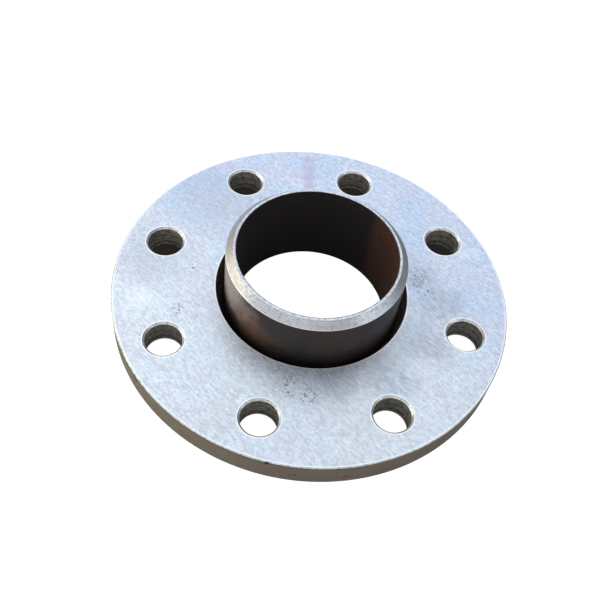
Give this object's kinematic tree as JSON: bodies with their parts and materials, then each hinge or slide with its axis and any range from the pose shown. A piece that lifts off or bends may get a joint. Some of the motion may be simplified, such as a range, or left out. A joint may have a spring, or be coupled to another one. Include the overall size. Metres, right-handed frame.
{
  "type": "weld neck flange",
  "caption": "Loose steel pipe flange turning on a weld-neck collar: bolted round plate, lap ring with a flat gasket face, and a short neck with a bevelled weld end.",
  "frame": {"origin": "centre of the collar's gasket face, on the pipe axis, at the bottom of the part", "axes": "+Z along the pipe axis from the gasket face towards the weld end; the bolt holes straddle +X and +Y"},
  "size_m": [0.2, 0.2, 0.047],
  "materials": {
    "zinc_plated_steel": "satin zinc plating, bluish white, clouded; rim and drilled holes darker",
    "black_steel": "dark brown-black mill scale, with a machined weld bevel and gasket face"
  },
  "bodies": {
    "collar": {"weld_neck_collar": "black_steel"},
    "flange": {"loose_flange": "zinc_plated_steel"}
  },
  "joints": [
    {"name": "flange_swivel", "type": "hinge", "parent": "collar", "child": "flange", "pos_m": [0, 0, 0.012], "axis": [0, 0, 1], "continuous": true}
  ]
}
